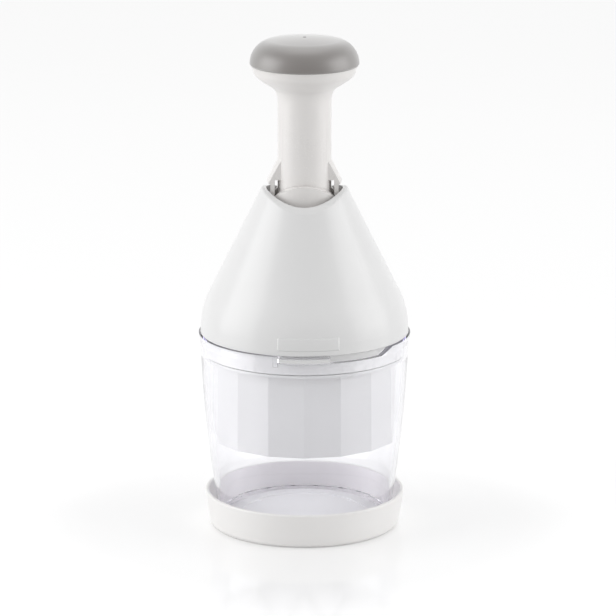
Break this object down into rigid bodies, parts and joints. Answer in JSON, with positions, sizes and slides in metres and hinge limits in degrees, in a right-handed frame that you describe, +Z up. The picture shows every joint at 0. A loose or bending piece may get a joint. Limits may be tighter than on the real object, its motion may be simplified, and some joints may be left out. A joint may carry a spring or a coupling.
{
  "type": "push-down food chopper",
  "caption": "Hand-worked food chopper: spring-loaded plunger and turning folded blade in a conical housing, on a clear chamber in a shallow tray.",
  "frame": {"origin": "centre of the tray's underside, on the surface that the chopper stands on", "axes": "+Z up along the plunger's axis, -Y towards the front of the product, +X to its right"},
  "size_m": [0.104, 0.104, 0.244],
  "materials": {
    "tray_white": "satin gloss moulded plastic",
    "disc_white": "satin cutting plastic",
    "clear_plastic": "clear polished plastic",
    "housing_white": "satin gloss moulded plastic",
    "collar_white": "satin moulded plastic",
    "inner_white": "satin moulded plastic",
    "nut_acetal": "smooth low-friction plastic",
    "bumper_rubber": "matt",
    "spring_steel": "drawn wire",
    "guard_white": "satin gloss moulded plastic",
    "plunger_white": "satin gloss moulded plastic",
    "cap_grey": "soft-touch matt",
    "steel": "zinc plated",
    "blade_steel": "ground stainless",
    "wiper_white": "satin moulded plastic"
  },
  "bodies": {
    "base": {"base_tray": "tray_white", "cutting_disc": "disc_white"},
    "chamber": {"clear_chamber": "clear_plastic"},
    "housing": {"cone_shell": "housing_white", "guide_collar": "collar_white", "drive_plate": "inner_white", "drive_nut": "nut_acetal", "stop_bumper": "bumper_rubber", "return_spring": "spring_steel", "blade_guard": "guard_white", "wiper_retainer": "inner_white", "plate_screw_1": "steel", "plate_screw_2": "steel", "plate_screw_3": "steel", "plate_screw_4": "steel"},
    "plunger": {"plunger_stem": "plunger_white", "knob_cap": "cap_grey", "thrust_washer": "steel"},
    "blade": {"drive_spindle": "nut_acetal", "retaining_clip": "steel", "blade_carrier": "inner_white", "zigzag_blade": "blade_steel"},
    "wiper": {"wiper_plate": "wiper_white"}
  },
  "joints": [
    {"name": "chamber_lift", "type": "slide", "parent": "base", "child": "chamber", "axis": [0, 0, 1], "range_m": [0, 0.04]},
    {"name": "housing_twist", "type": "hinge", "parent": "chamber", "child": "housing", "pos_m": [0, 0, 0.0974], "axis": [0, 0, 1], "range_deg": [0, 32.5]},
    {"name": "plunge", "type": "slide", "parent": "housing", "child": "plunger", "axis": [0, 0, -1], "range_m": [0, 0.0404], "stiffness_N_per_m": 180, "springref_m": -0.03, "deforming": ["return_spring"]},
    {"name": "blade_turn", "type": "hinge", "parent": "plunger", "child": "blade", "pos_m": [0, 0, 0.1], "axis": [0, 0, 1], "range_deg": [0, 46]},
    {"name": "wiper_turn", "type": "hinge", "parent": "housing", "child": "wiper", "pos_m": [0, 0, 0.048], "axis": [0, 0, 1], "range_deg": [0, 46]}
  ],
  "couplings": [
    {"joint": "blade_turn", "follows": "plunge", "rad_per_m": 19.441},
    {"joint": "wiper_turn", "follows": "plunge", "rad_per_m": 19.441}
  ]
}
